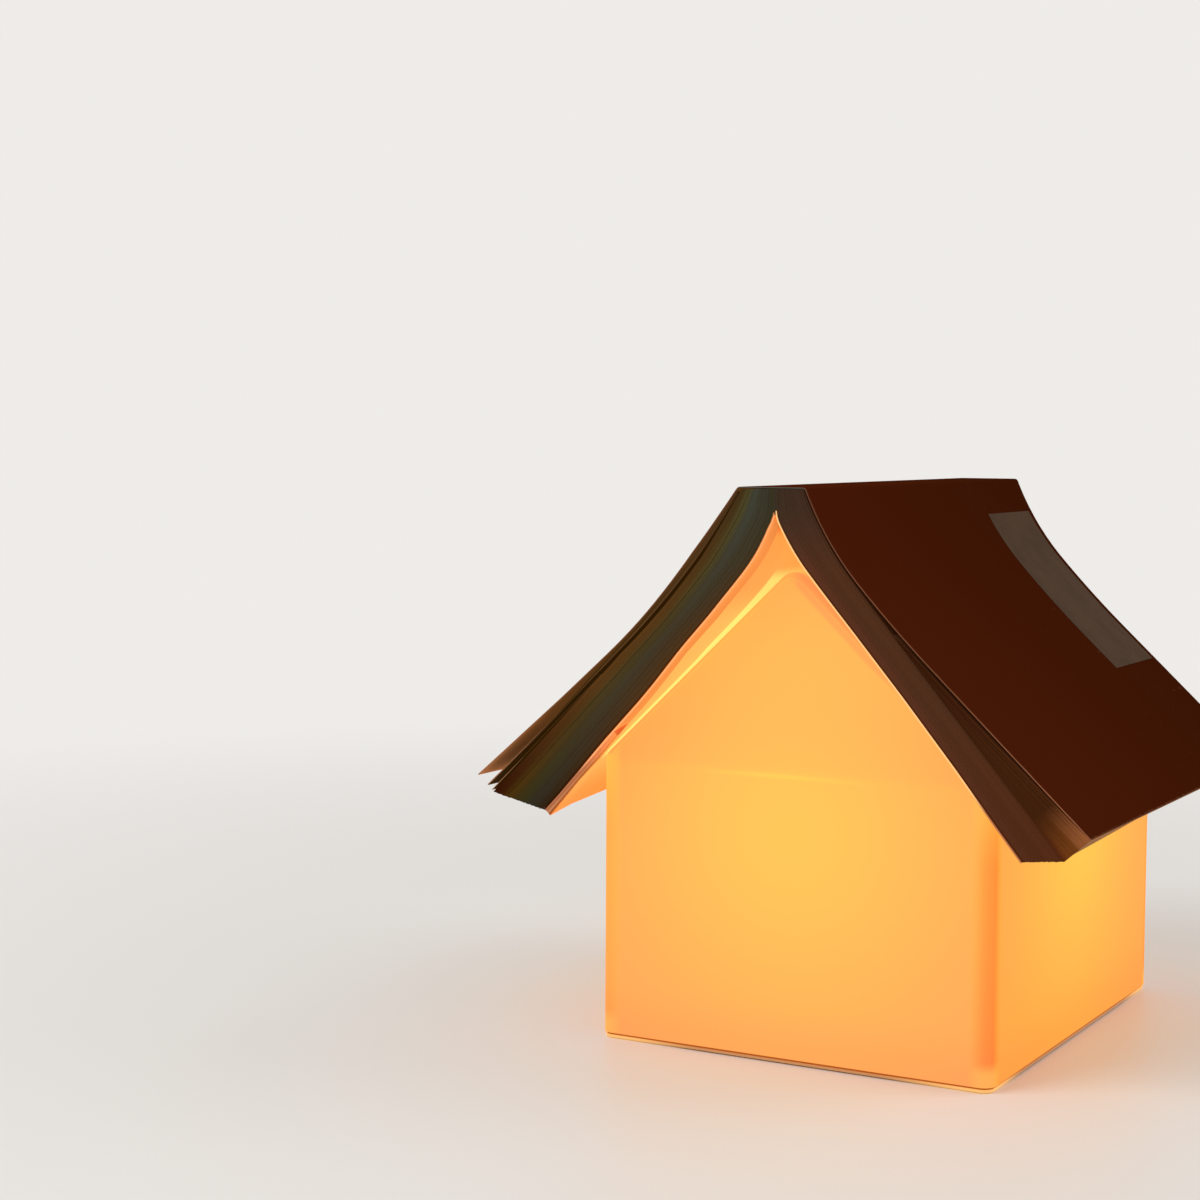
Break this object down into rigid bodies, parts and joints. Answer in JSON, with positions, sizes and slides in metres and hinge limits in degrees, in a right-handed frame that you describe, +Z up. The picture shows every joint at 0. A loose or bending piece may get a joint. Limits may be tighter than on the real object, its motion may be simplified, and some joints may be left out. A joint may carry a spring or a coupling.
{
  "type": "desk lamp",
  "caption": "Satin opal glass desk lamp shaped like a small gabled house on a flat base, lit from inside, with an open paperback book laid face down over its roof.",
  "frame": {"origin": "on the surface the lamp stands on, under the middle of the house", "axes": "+Z up, +Y towards the back wall with the cord inlet, so that the gable end a viewer sees faces -Y, and +X to that viewer's right"},
  "size_m": [0.2456, 0.2224, 0.2157],
  "materials": {
    "opal_glass": "satin",
    "clear_glass": "gloss",
    "filament": "satin",
    "white_metal": "satin",
    "steel": "satin",
    "brass": "satin",
    "aluminium": "satin",
    "white_plastic": "satin",
    "black_glass": "gloss",
    "ceramic": "satin",
    "clear_rubber": "satin",
    "grey_rubber": "matte",
    "felt": "matte",
    "brown_insulation": "satin",
    "blue_insulation": "satin",
    "cover_paper": "satin",
    "page_paper": "matte",
    "label_paper": "satin"
  },
  "bodies": {
    "base": {"base_pad": "felt", "base_tray": "white_metal", "bottom_cover": "white_metal", "cover_screws": "steel", "rim_gasket": "clear_rubber", "locating_pads": "clear_rubber", "threaded_tube": "brass", "tube_washer": "steel", "tube_nut": "brass", "holder_base": "white_plastic", "holder_core": "ceramic", "holder_sleeve": "white_plastic", "screw_shell": "brass", "side_contact": "brass", "centre_contact": "brass", "terminal_block": "white_plastic", "terminal_screws": "steel", "live_wire": "brown_insulation", "neutral_wire": "blue_insulation", "cord_gland": "grey_rubber", "gland_nut": "white_plastic", "cord_clamp": "white_plastic", "clamp_screws": "steel"},
    "shade": {"glass_shade": "opal_glass"},
    "bulb_cap": {"bulb_cap": "aluminium", "bulb_insulator": "black_glass", "bulb_tip": "brass"},
    "bulb_glass": {"bulb_envelope": "clear_glass", "bulb_stem": "clear_glass", "filament_support": "steel", "filaments": "filament"},
    "book": {"book_cover": "cover_paper", "pages_left": "page_paper", "pages_right": "page_paper", "fanned_leaves": "page_paper", "cover_label": "label_paper"}
  },
  "joints": [
    {"name": "shade_lift", "type": "slide", "parent": "base", "child": "shade", "axis": [0, 0, 1], "range_m": [0, 0.13]},
    {"name": "book_lift", "type": "slide", "parent": "shade", "child": "book", "axis": [0, 0, 1], "range_m": [0, 0.12]},
    {"name": "bulb_rise", "type": "slide", "parent": "base", "child": "bulb_cap", "axis": [0, 0, 1], "range_m": [0, 0.0142]},
    {"name": "bulb_turn", "type": "hinge", "parent": "bulb_cap", "child": "bulb_glass", "pos_m": [0, 0, 0.0875], "axis": [0, 0, 1], "range_deg": [0, 1800]}
  ],
  "couplings": [
    {"joint": "bulb_rise", "follows": "bulb_turn", "m_per_rad": 0.00044882}
  ]
}
